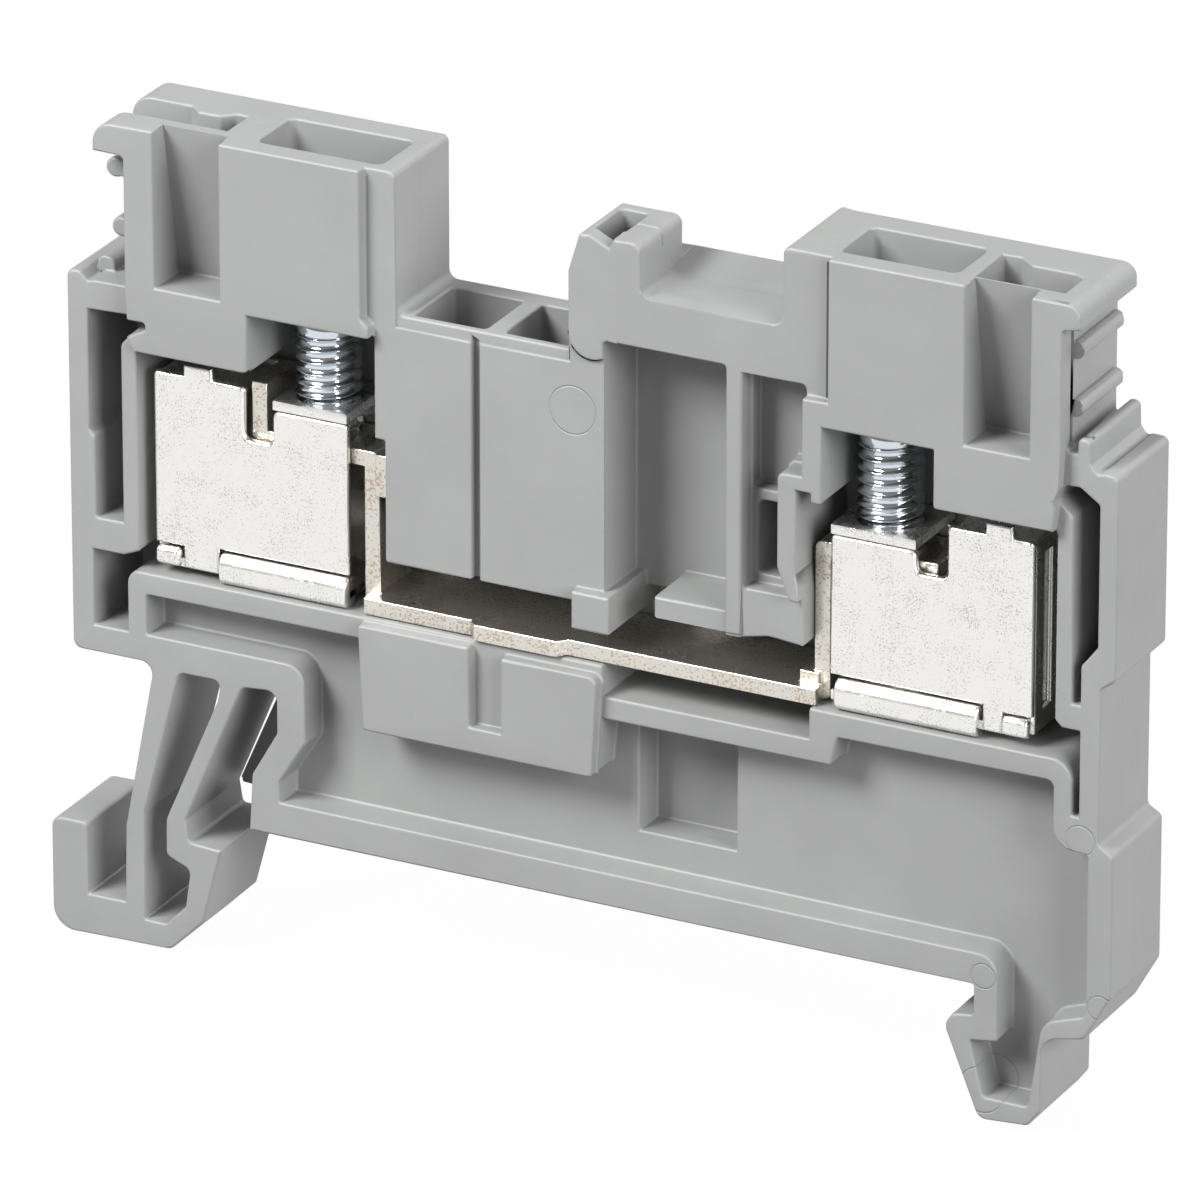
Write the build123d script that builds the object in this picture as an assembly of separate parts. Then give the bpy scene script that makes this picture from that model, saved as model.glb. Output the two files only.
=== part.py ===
from build123d import *
import os

# Feed-through screw terminal block for a 35 mm mounting rail, moulded open on its front side.
# X runs along the block, +Z is up and -Y is the open front side. The origin lies on the rail seat,
# midway between the two walls that take the rail.

# Rail pocket
RAIL_WIDTH = 35.0
RAIL_PLAY = 0.25
POCKET = (RAIL_WIDTH + RAIL_PLAY) / 2
RAIL_GRIP_LEFT = 1.12
RAIL_GRIP_RIGHT = 1.32
SEAT_RIB = 1.5

# Thickness: depths are counted from the strip plane towards the back face
BODY_DEPTH = 4.7
PAD_PROUD = 0.5
WALL_PROUD = 0.12
STRIP_Y = -(BODY_DEPTH - PAD_PROUD) / 2
CHAMBER_DEPTH = 4.1
LOWER_WEB_DEPTH = 1.45
PANEL_DEPTH = 3.0
RECESS_DEPTH = 2.8
NARROW_DEPTH = 1.5
NARROW_LEDGE = 0.75
SLOT_DEPTH = 1.6
SLOT_TOP = 0.42
MARKER_WALL = 0.2
MARKER_DEPTH = 2.2
TOP_SETBACK = 0.12
RIDGE_FRONT = 0.6
RIDGE_BACK = 4.3
COVER_WALL = 0.3

# Levels of the housing
TOWER_TOP = 29.7
DECK = 23.62
PAD_TOP = 23.16
SADDLE = 26.4
SADDLE_RISE = 0.55
HOLDER_BACK = 3.6
HOLDER_TOP = 28.67
SHOULDER = 22.75
CAVITY_TOP = 22.6
COVER_FOOT = 20.12
PAD_FOOT = 12.96
FLOOR = 10.4
TRAY = 9.1
SHELF = 0.98
BODY_FOOT = 6.47
FOOT_LEFT = -6.2
FOOT_RIGHT = -5.75

# Lengthwise places of the housing
CAGE_LENGTH = 8.75
CAGE_INNER_LEFT = -10.3
CAGE_INNER_RIGHT = 11.05
CHAMBER_PLAY_LEFT = 0.55
CHAMBER_PLAY_RIGHT = 1.17
CHAMBER_LEFT = (CAGE_INNER_LEFT - CAGE_LENGTH - CHAMBER_PLAY_LEFT, -8.85)
CHAMBER_RIGHT = (CAGE_INNER_RIGHT, CAGE_INNER_RIGHT + CAGE_LENGTH + CHAMBER_PLAY_RIGHT)
CHAMBER_WALL = 0.7
LEFT_SIDE = CHAMBER_LEFT[0] - 3.1
RIGHT_SIDE = CHAMBER_RIGHT[1] + 1.96
RIGHT_BULGE = 0.62
TOWER_LEFT = (CHAMBER_LEFT[0] - 0.2, -7.87)
TOWER_RIGHT = (9.17, CHAMBER_RIGHT[1] + 0.31)
NOSE_LEFT = 1.38
NOSE_RIGHT = 0.79
SLOT_LEFT = (-18.45, -15.5)
SLOT_RIGHT = (17.15, 19.95)
PAD_LEFT_END = -9.2
PAD_RIGHT_END = 11.3
PAD_DROP = 2.7
FOOT_END = -23.85
FOOT_WALL = 1.67
COVER_LEFT = -14.3
COVER_RIGHT = 15.87
GUIDE_RIB = 0.55
MIDDLE = (-8.4, 1.35)
PAD_GAP = (-4.53, -4.18)
LUG = (0.13, 1.8)
LUG_FOOT = 11.97
HOLDER = (-0.19, 3.0)
HOLDER_REACH = 1.98
HOLDER_FOOT = SADDLE - HOLDER_REACH
HOLDER_PAD = 2.05
BLOCK = (-9.43, 1.26)
BLOCK_FOOT = 5.7
RIB = (6.72, 7.41)

# Screws and their wells
THREAD = 2.7
THREAD_PLAY = 0.05
NECK = 2.4
HEAD = 3.5
HEAD_HEIGHT = 2.2
HEAD_PLAY = 0.15
HEAD_FLOOR = 24.5
RING = 0.4
DRIVER_SLOT = (0.6, 1.1)
SCREW_LEFT = -12.02
SCREW_RIGHT = 12.82
SCREW_DEPTH = 2.2
NECK_FOOT = 22.1

# Clamping cages: folded sheet, measured outwards from the inner end of each cage
SHEET = 0.4
CAGE_FRONT = 0.4
CAGE_PLAY = 0.1
CAGE_BASE = 0.35
FOLD_RADIUS = 0.45
CAGE_TALL = 19.1
LIP_HEIGHT = 1.35
LIP_DEPTH = 1.1
CAGES = {
    "left": {
        "inner": CAGE_INNER_LEFT, "out": -1, "notch": (3.35, 4.65), "tab": (6.1, 7.4),
        "lip": (0.0, 5.75), "top": 18.8,
    },
    "right": {
        "inner": CAGE_INNER_RIGHT, "out": 1, "notch": (3.7, 5.05), "tab": (6.66, 7.84),
        "lip": (0.3, 6.5), "top": 18.25,
    },
}
HOOK = (7.55, 8.5)
NOTCH_FOOT = 16.85
TAB_RISE = 0.5

# Busbar
BAR = 0.7
BAR_PLAY = 0.05
BAR_FRONT = 0.2
BAR_BULGE = 0.4
BULGE_X = (-4.75, -0.3)
TONGUE_TOP = 17.2
SIDE_GAP = 0.1


def profile(corners):
    """A flat face from (x, z, radius) corners."""
    points = [(x, z) for x, z, r in corners]
    return make_face(FilletPolyline(*points, radius=[r for x, z, r in corners], close=True))


def slab(corners, near, far):
    """The outline drawn in X and Z, as a slab between two depths."""
    return extrude(Plane.XZ.offset(-(STRIP_Y + far)) * profile(corners), far - near)


def box(x, z, near, far, radius=0.0):
    """A block between two lengthwise places, two levels and two depths."""
    corners = [(x[0], z[0], radius), (x[1], z[0], radius), (x[1], z[1], radius), (x[0], z[1], radius)]
    return slab(corners, near, far)


def upright(x, depth, z, radius):
    """A vertical well with rounded or chamfered corners, seen from above."""
    outline = RectangleRounded(x[1] - x[0], depth[1] - depth[0], radius)
    place = Plane.XY.offset(z[0]) * Pos((x[0] + x[1]) / 2, STRIP_Y + (depth[0] + depth[1]) / 2)
    return extrude(place * outline, z[1] - z[0])


def plan(corners, z):
    """An outline drawn in X and depth, as a slab between two levels."""
    points = [(x, STRIP_Y + depth) for x, depth in corners]
    return extrude(Plane.XY.offset(z[0]) * make_face(Polyline(*points, close=True)), z[1] - z[0])


def across(corners, x):
    """An outline drawn in depth and level, as a slab between two lengthwise places."""
    points = [(STRIP_Y + depth, z) for depth, z in corners]
    return extrude(Plane.YZ.offset(x[0]) * make_face(Polyline(*points, close=True)), x[1] - x[0])


def holder_top():
    """The top of the label holder, from its left edge to its right one."""
    return [
        (HOLDER[0], SADDLE + 0.6, 0), (HOLDER[0] + 0.5, HOLDER_TOP, 0.2), (HOLDER[1], HOLDER_TOP, 0.4),
    ]


def block_foot():
    """The lower edge of the slotted block, from right to left."""
    return [(BLOCK[1] - 0.25, BLOCK_FOOT, 0.15), (BLOCK[0] + 0.2, BLOCK_FOOT, 0.15)]


def narrow_wall():
    """The stepped wall between the narrow recess and the right chamber, from its top down."""
    return [
        (10.2, SADDLE - 2.3, 0.2), (10.2, 20.4, 0), (9.15, 20.4, 0.3), (9.15, 16.4, 0.3), (9.7, 15.0, 0.2),
    ]


def silhouette():
    """The outline of the moulding: towers, rail pocket, fixed foot and sprung foot."""
    nose_l = TOWER_LEFT[0] - NOSE_LEFT
    nose_r = TOWER_RIGHT[1] + NOSE_RIGHT
    bulge = RIGHT_SIDE + RIGHT_BULGE
    towers = [
        (nose_l, TOWER_TOP - 1.27, 0.1), (nose_l, TOWER_TOP, 0.9),
        (TOWER_LEFT[1], TOWER_TOP, 0.3), (TOWER_LEFT[1], DECK, 0.4),
        (HOLDER[0], DECK, 0), *holder_top(), (HOLDER[1], SADDLE, 0.4),
        (TOWER_RIGHT[0], SADDLE, 0.5), (TOWER_RIGHT[0], TOWER_TOP, 0.3),
        (nose_r, TOWER_TOP, 0.6), (nose_r, TOWER_TOP - 1.02, 0.15), (TOWER_RIGHT[1], TOWER_TOP - 1.15, 0.2),
    ]
    ridge = bulge - 1.77
    right_end = [
        (TOWER_RIGHT[1], SHOULDER + 0.62, 0.2), (ridge, SHOULDER + 0.62, 0), (ridge, SHOULDER + 1.28, 0.25),
        (ridge + 0.55, SHOULDER + 1.28, 0.25), (ridge + 0.58, SHOULDER + 0.25, 0.2),
        (ridge + 0.85, SHOULDER - 0.1, 0.2), (ridge + 1.1, SHOULDER, 0.1), (bulge, SHOULDER - 0.02, 0.3),
        (bulge, 14.1, 0.3), (RIGHT_SIDE, 13.7, 0.3), (RIGHT_SIDE, 7.05, 0.3), (bulge, 6.7, 0.3),
        (bulge, 0.6, 0.4), (bulge - 1.1, -1.4, 0.5), (20.6, -1.75, 0.9), (20.57, FOOT_RIGHT + 0.8, 0.2),
        (20.05, FOOT_RIGHT + 0.1, 0.3), (17.9, FOOT_RIGHT - 0.05, 0.5), (POCKET - 1.27, -2.0, 0.5),
        (POCKET - 0.9, -RAIL_GRIP_RIGHT - 0.12, 0.3), (POCKET, -RAIL_GRIP_RIGHT, 0.15), (POCKET, 0, 0.1),
    ]
    spring_channel = [
        (-14.7, 0, 0.05), (-14.55, 2.5, 0.2), (-13.4, 4.5, 0.3), (-13.4, 6.35, 0.45), (-14.95, 6.2, 0.3),
        (-POCKET, -0.15, 0.1),
    ]
    sprung_foot = [
        (-POCKET + 0.15, -RAIL_GRIP_LEFT, 0.2), (-15.98, -RAIL_GRIP_LEFT - 0.06, 0.1),
        (-16.9, FOOT_LEFT + 1.6, 0.3), (-18.4, FOOT_LEFT + 0.12, 0.5), (FOOT_END, FOOT_LEFT, 1.0),
        (FOOT_END, -1.22, 0.45),
        (FOOT_END + FOOT_WALL, -1.18, 0.2), (FOOT_END + FOOT_WALL, -4.37, 0),
        (-20.47, -4.35, 0), (-20.4, -0.95, 0.5),
        (-19.0, BODY_FOOT, 0.5),
        (LEFT_SIDE, BODY_FOOT, 0.4),
    ]
    left_end = [
        (LEFT_SIDE, SHOULDER + 0.2, 0.3), (LEFT_SIDE + 0.6, SHOULDER + 0.2, 0.2),
        (LEFT_SIDE + 0.95, SHOULDER - 0.18, 0.15), (LEFT_SIDE + 1.25, SHOULDER - 0.08, 0),
        (TOWER_LEFT[0], SHOULDER - 0.08, 0.3),
        (TOWER_LEFT[0], TOWER_TOP - 1.3, 0.2),
    ]
    return towers + right_end + spring_channel + sprung_foot + left_end


def pads():
    """The faces that stand proud of the strip plane, most of them to meet the neighbouring block."""
    nose_l = TOWER_LEFT[0] - NOSE_LEFT
    nose_r = TOWER_RIGHT[1] + NOSE_RIGHT
    left_pad = [
        (nose_l, TOWER_TOP - 1.27, 0.1), (nose_l, TOWER_TOP, 0.9), (PAD_LEFT_END, TOWER_TOP, 0),
        (PAD_LEFT_END, SHOULDER + 0.65, 0.15), (CHAMBER_LEFT[1], CAVITY_TOP + 0.5, 0),
        (CHAMBER_LEFT[1], CAVITY_TOP, 0),
        (COVER_LEFT - 0.2, COVER_FOOT, 0), (CHAMBER_LEFT[0] + 0.3, COVER_FOOT, 0),
        (CHAMBER_LEFT[0] - 0.1, 20.75, 0),
        (TOWER_LEFT[0], SHOULDER - 0.08, 0), (TOWER_LEFT[0], TOWER_TOP - 1.3, 0.2),
    ]
    right_pad = [
        (PAD_RIGHT_END, TOWER_TOP, 0), (nose_r, TOWER_TOP, 0.6), (nose_r, TOWER_TOP - 1.02, 0.15),
        (TOWER_RIGHT[1], TOWER_TOP - 1.15, 0.2), (TOWER_RIGHT[1], SHOULDER + 0.62, 0),
        (CHAMBER_RIGHT[1] + 0.23, 21.93, 0), (CHAMBER_RIGHT[1], COVER_FOOT, 0), (15.0, COVER_FOOT, 0),
        (15.0, CAVITY_TOP, 0), (CHAMBER_RIGHT[0], CAVITY_TOP, 0), (CHAMBER_RIGHT[0], 19.35, 0),
        (10.6, 19.35, 0), (10.6, 19.75, 0), (9.95, 19.75, 0), (9.95, 16.2, 0.3), (10.1, 15.0, 0),
        *reversed(narrow_wall()[1:]), (10.2, SADDLE - PAD_DROP, 0), (PAD_RIGHT_END, SADDLE - PAD_DROP, 0),
    ]
    wall = [
        (HOLDER[0], HOLDER_FOOT, 0), *holder_top(), (HOLDER[1], SADDLE, 0.4), (TOWER_RIGHT[0], SADDLE, 0.5),
        (TOWER_RIGHT[0], TOWER_TOP, 0.3), (PAD_RIGHT_END, TOWER_TOP, 0),
        (PAD_RIGHT_END, SADDLE - PAD_DROP, 0),
        (10.2, SADDLE - PAD_DROP, 0), *narrow_wall()[:1], (RIB[1], SADDLE - 2.3, 0), (RIB[1], PAD_FOOT, 0),
        (RIB[0], PAD_FOOT, 0),
        (RIB[0], SADDLE - 2.1, 0.2), (HOLDER[0] + HOLDER_PAD, SADDLE - 2.1, 0),
        (HOLDER[0] + HOLDER_PAD, HOLDER_FOOT, 0),
    ]
    half = HOLDER_PAD / 2
    holder_end = Pos(HOLDER[0] + half, HOLDER_FOOT) * Circle(half)
    block = [
        (BLOCK[0], FLOOR - 0.15, 0.15), (-4.44, FLOOR - 0.15, 0.1), (-4.44, 6.8, 0), (-3.02, 6.8, 0),
        (-3.02, FLOOR - 0.35, 0.1), (BLOCK[1], FLOOR - 0.35, 0.35), *block_foot(),
    ]
    result = [slab(outline, -PAD_PROUD, 0.2) for outline in (left_pad, right_pad, block)]
    result.append(slab(wall, -WALL_PROUD, 0.2))
    result.append(extrude(Plane.XZ.offset(-(STRIP_Y + 0.2)) * holder_end, WALL_PROUD + 0.2))
    return result


def face_grooves():
    """Shallow grooves of the front: between the middle faces, above them and down the rear of the shelf."""
    return [
        box(PAD_GAP, (PAD_FOOT - 1, PAD_TOP + 0.2), -1, 0.4),
        box((TOWER_LEFT[1], HOLDER[0]), (PAD_TOP, DECK + 1), -1, TOP_SETBACK),
    ]


def interior():
    """The space for the metal parts: both cage chambers, the side pockets below them and the busbar tray."""
    left, right = CHAMBER_LEFT, CHAMBER_RIGHT
    roof = [
        (left[0], COVER_FOOT - 0.05, 0.3), (COVER_LEFT, COVER_FOOT, 0.05), (COVER_LEFT, CAVITY_TOP, 0),
        (left[1], CAVITY_TOP, 0), (left[1], 18.2, 0.1), (MIDDLE[0], 18.2, 0), (MIDDLE[0], PAD_FOOT, 0.15),
        (RIB[0], PAD_FOOT, 0), (RIB[0], 12.85, 0), (RIB[1], 12.85, 0), (8.6, 13.1, 0.4), (10.1, 12.95, 0.1),
        (10.1, 15.0, 0), (9.95, 16.2, 0.3), (9.95, 19.75, 0), (10.6, 19.75, 0), (10.6, 19.35, 0),
        (right[0], 19.35, 0), (right[0], CAVITY_TOP, 0), (COVER_RIGHT, CAVITY_TOP, 0),
        (COVER_RIGHT, COVER_FOOT, 0.15),
        (right[1], COVER_FOOT, 0.35),
    ]
    right_foot = [
        (right[1], 12.05, 0), (right[1] + 0.3, 11.75, 0.2), (RIGHT_SIDE - 0.88, 11.75, 0),
        (RIGHT_SIDE - 0.88, 8.1, 0),
        (RIGHT_SIDE - 1.2, 8.1, 0), (RIGHT_SIDE - 1.2, FLOOR, 0.9),
    ]
    tray = [
        (11.45, FLOOR, 0), (10.35, FLOOR, 0), (10.35, TRAY, 0), (BLOCK[1], TRAY, 0), (BLOCK[1], FLOOR, 0),
    ]
    left_foot = [
        (left[0] - 0.55, FLOOR, 0.6), (left[0] - 0.55, BODY_FOOT + 1.2, 0),
        (LEFT_SIDE + 1.0, BODY_FOOT + 1.2, 0),
        (LEFT_SIDE + 1.0, 10.97, 0), (left[0] - CHAMBER_WALL, 10.97, 0), (left[0], 11.26, 0.15),
    ]
    return slab(roof + right_foot + tray + left_foot, -PAD_PROUD - 1, CHAMBER_DEPTH)


def end_pockets():
    """The two tall lightening pockets between each cage chamber and the end wall."""
    near, side = CHAMBER_LEFT[0], LEFT_SIDE
    left = [
        (side + 0.92, 21.36, 0), (near + 0.69, 21.45, 0.15), (near + 0.69, 21.15, 0.1),
        (near - 0.1, 20.75, 0.3),
        (near - CHAMBER_WALL, 20.1, 0.3), (near - CHAMBER_WALL, 12.4, 0), (side + 1.16, 12.4, 0.1),
        (side + 1.16, 15.9, 0.15), (side + 0.92, 16.15, 0.15),
    ]
    near, side = CHAMBER_RIGHT[1], RIGHT_SIDE
    right = [
        (near, 21.3, 0.15), (near + 0.23, 21.93, 0.2), (side - 1.03, 21.98, 0.2), (side - 0.18, 21.4, 0.2),
        (side - 0.18, 15.4, 0.2), (side - 0.88, 14.5, 0.2), (side - 0.88, 12.85, 0), (side - 1.25, 12.85, 0),
        (near + CHAMBER_WALL - 0.04, 20.7, 0.3),
    ]
    return [slab(outline, -1, CHAMBER_DEPTH) for outline in (left, right)]


def lower_recess():
    """The thinned web between the shelf and the rail rib, open down into the fixed foot."""
    outline = [
        (-19.3, FLOOR - SHELF, 0.15), (BLOCK[0], FLOOR - SHELF, 0), *reversed(block_foot()),
        (BLOCK[1], TRAY - SHELF, 0), (11.3, TRAY - SHELF, 0), (11.6, FLOOR - SHELF - 0.05, 0.15),
        (RIGHT_SIDE - 1.98, FLOOR - SHELF, 0.3), (RIGHT_SIDE - 1.98, BODY_FOOT + 0.15, 0.9),
        (RIGHT_SIDE - 0.46, BODY_FOOT + 0.1, 0.2), (RIGHT_SIDE - 0.46, -0.4, 0.3), (20.6, -1.0, 1.0),
        (20.05, FOOT_RIGHT + 0.95, 0.2), (18.1, FOOT_RIGHT + 0.95, 0.2),
        (17.5, -2.45, 0.1), (18.67, -2.3, 0.15), (18.67, SEAT_RIB - 0.1, 0.9), (-13.3, SEAT_RIB, 0.1),
        (-13.3, 2.4, 0.3), (-12.1, 4.3, 0.3), (-12.1, BODY_FOOT + 1.22, 0.9), (-19.3, BODY_FOOT + 1.22, 0.1),
    ]
    return slab(outline, -1, LOWER_WEB_DEPTH)


def centre_recesses():
    """The open recess beside the middle block, the narrower one past the rib, and the gap under its bar."""
    wide = [
        (MIDDLE[1], SADDLE - 2.1, 0.2), (RIB[0], SADDLE - 2.1, 0.2), (RIB[0], PAD_FOOT + 0.9, 0),
        (3.55, PAD_FOOT + 0.9, 0.1), (3.55, PAD_FOOT - 0.2, 0), (MIDDLE[1], PAD_FOOT - 0.2, 0),
    ]
    narrow = [
        (RIB[1], SADDLE - 2.3, 0.15), *narrow_wall(), (RIB[1], 15.0, 0.15),
    ]
    upper = [
        (RIB[1] + 0.02, SADDLE - 2.32, 0.15), (10.18, SADDLE - 2.32, 0.2), (10.18, 20.42, 0),
        (9.13, 20.42, 0),
        (9.13, 19.0, 0.3), (RIB[1] + 0.02, 19.0, 0.3),
    ]
    deep = [
        (RIB[1] + 0.35, 18.5, 0.25), (9.0, 18.5, 0.25), (9.0, 15.4, 0.2), (RIB[1] + 0.35, 15.4, 0.3),
    ]
    return [
        slab(wide, -1, RECESS_DEPTH), slab(narrow, -1, NARROW_LEDGE), slab(upper, 0, NARROW_DEPTH),
        slab(deep, 0, CHAMBER_DEPTH - 0.2),
    ]


def screw_space(centre):
    """The round bore of one screw: passage, head chamber and the narrower ring that keeps the head in."""
    place = Pos(centre, STRIP_Y + SCREW_DEPTH)
    head_roof = HEAD_FLOOR + HEAD_HEIGHT + 2 * HEAD_PLAY
    bore = Circle(THREAD / 2 + 0.15)
    passage = extrude(Plane.XY.offset(CAVITY_TOP - 1) * place * bore, HEAD_FLOOR - CAVITY_TOP + 1.1)
    wide = Circle(HEAD / 2 + HEAD_PLAY)
    chamber = extrude(Plane.XY.offset(HEAD_FLOOR) * place * wide, head_roof - HEAD_FLOOR)
    ring = extrude(Plane.XY.offset(head_roof - 0.1) * place * Circle(HEAD / 2 - 0.3), RING + 0.2)
    return passage + chamber + ring


def wells():
    """What opens at the top: screw wells, marker grooves, jumper wells and the holder's pocket."""
    well_floor = HEAD_FLOOR + HEAD_HEIGHT + 2 * HEAD_PLAY + RING
    above = TOWER_TOP + 1
    cuts = [
        upright((-14.3, -8.75), (0.55, 3.4), (well_floor, above), 0.35),
        upright((11.3, 16.35), (0.55, 3.4), (well_floor, above), 0.35),
        *marker_grooves(above),
        upright((-7.3, -4.1), (0.5, 3.8), (PAD_FOOT + 1.2, DECK + 1), 0.2),
        upright((-3.27, -0.3), (0.5, 3.8), (PAD_FOOT + 1.2, DECK + 1), 0.2),
        upright((HOLDER[0] + 0.78, HOLDER[0] + 2.0), (0.6, 3.0), (SADDLE, HOLDER_TOP + 1), 0.2),
        slab([(HOLDER[0] + 0.75, HOLDER_TOP + 0.1, 0), (HOLDER[0] + 1.82, HOLDER_TOP - 0.43, 0),
              (HOLDER[0] + 2.05, HOLDER_TOP + 0.1, 0)], -1, 0.7),
        box((HOLDER[0] + 1.9, HOLDER[1] + 0.1), (HOLDER_TOP - 0.7, HOLDER_TOP + 1), 1.75, 1.85),
    ]
    return cuts + [screw_space(SCREW_LEFT), screw_space(SCREW_RIGHT)]


def marker_grooves(above):
    """The grooves in both tower tops that take a marker, with their stepped rear walls."""
    floor = TOWER_TOP - MARKER_DEPTH
    left_end, right_end = SLOT_LEFT[1] - 0.4, TOWER_RIGHT[1] - 0.4
    left = [
        (-22.5, 1.05), (left_end, 1.05), (left_end, 2.8), (left_end - 0.5, 2.8), (left_end - 1.0, 2.3),
        (left_end - 2.0, 2.3), (left_end - 2.5, 2.8), (-22.5, 2.8),
    ]
    start = SLOT_RIGHT[0] - 0.1
    rear = [
        (start, 1.2), (right_end, 1.2), (right_end, 2.3), (right_end - 0.5, 2.55), (start + 1.5, 2.55),
        (start + 0.8, 3.15), (start, 3.15),
    ]
    wall = SLOT_TOP + MARKER_WALL
    front = [(wall, above), (wall, TOWER_TOP), (1.1, floor), (1.3, floor), (1.3, above)]
    return [plan(left, (floor, above)), plan(rear, (floor, above)), across(front, (start, right_end))]


def tower_slots():
    """The open slots in both tower fronts, deeper at the foot, and the slits behind the outer strips."""
    foot = SHOULDER + 0.29
    above = TOWER_TOP + 1
    slot = [(-1, foot), (SLOT_DEPTH, foot), (SLOT_TOP, TOWER_TOP), (SLOT_TOP, above), (-1, above)]
    slit = (SHOULDER + 0.75, TOWER_TOP - 1.4)
    return [
        across(slot, SLOT_LEFT), across(slot, SLOT_RIGHT),
        box((TOWER_LEFT[0] - 1, TOWER_LEFT[0] + 0.5), slit, 0.35, 0.6),
        box((TOWER_RIGHT[1] - 0.5, TOWER_RIGHT[1] + 1), slit, 0.35, 0.6),
    ]


def ridges():
    """Half-round ridges along both outer sides, where a tool or marker snaps on."""
    spots = [
        (TOWER_LEFT[0], -0.95, TOWER_TOP - 2.3, 0.42), (TOWER_LEFT[0], -0.72, TOWER_TOP - 4.8, 0.42),
        (TOWER_RIGHT[1], 0.1, TOWER_TOP - 2.3, 0.36), (TOWER_RIGHT[1], 0.1, TOWER_TOP - 4.7, 0.36),
    ]
    result = []
    for side, reach, level, radius in spots:
        stem = Rectangle(abs(reach) + 0.4, 2 * radius - 0.1)
        ridge = Pos(side + reach, level) * Circle(radius) + Pos(side + reach / 2, level) * stem
        result.append(extrude(Plane.XZ.offset(-(STRIP_Y + RIDGE_BACK)) * ridge, RIDGE_BACK - RIDGE_FRONT))
    x = LEFT_SIDE + 1.2
    low = (SHOULDER - 0.5, SHOULDER + 0.55)
    result.append(box((x - 0.42, x + 0.42), low, RIDGE_FRONT + 0.5, RIDGE_BACK, 0.38))
    return result


def foot_slots():
    """The slots that let the left foot spring outwards."""
    spring = [
        (-17.85, 6.27, 0.35), (-15.95, 6.3, 0.3), (-16.1, 5.4, 0.4), (-18.53, -0.3, 0.4), (-18.55, -1.9, 0.3),
        (-17.45, -2.35, 0.35), (-17.7, -4.05, 0.1), (-18.6, -4.97, 0.2), (-19.58, -4.97, 0.1),
        (-19.5, -0.2, 0.5),
    ]
    return slab(spring, -1, BODY_DEPTH + 1)


def foot_flange():
    """The thin flange behind the gap of the sprung foot, free of the foot by a narrow gap."""
    outline = [
        (-14.6, 0.02, 0), (-14.45, 2.5, 0.2), (-13.3, 4.5, 0.3), (-13.3, 6.5, 0), (-14.62, 6.5, 0),
        (-14.62, 6.2, 0),
        (-17.2, 0.3, 0.1), (-17.2, 0.02, 0),
    ]
    return slab(outline, BODY_DEPTH - 0.7, BODY_DEPTH)


def housing():
    """The moulding."""
    body = slab(silhouette(), 0, BODY_DEPTH)
    for part in pads() + ridges():
        body += part
    cuts = [interior(), lower_recess(), foot_slots()]
    cuts += end_pockets() + centre_recesses() + wells() + tower_slots() + face_grooves()
    lift = (COVER_FOOT - 0.3, SHOULDER - 0.6)
    cuts.append(box((CHAMBER_LEFT[0], COVER_LEFT - GUIDE_RIB), lift, COVER_WALL, CHAMBER_DEPTH))
    cuts.append(box((COVER_RIGHT - 0.1, CHAMBER_RIGHT[1]), lift, COVER_WALL, CHAMBER_DEPTH))
    cuts.append(box((2.2, 6.5), (2.9, 7.8), 0, PANEL_DEPTH))
    for cut in cuts:
        body -= cut
    rise = [(0, SADDLE - 0.3), (BODY_DEPTH, SADDLE - 0.3), (BODY_DEPTH, SADDLE + SADDLE_RISE), (0, SADDLE)]
    body += across(rise, (HOLDER[1] - 0.1, TOWER_RIGHT[0] + 0.1))
    behind = (HOLDER[0] - 0.1, HOLDER[1] + 0.1)
    body -= box(behind, (SADDLE + SADDLE_RISE, HOLDER_TOP + 1), HOLDER_BACK, BODY_DEPTH + 1)
    body += box(LUG, (LUG_FOOT, PAD_FOOT + 0.64), -PAD_PROUD, CHAMBER_DEPTH + 0.1, 0.1)
    return body + foot_flange()


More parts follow.
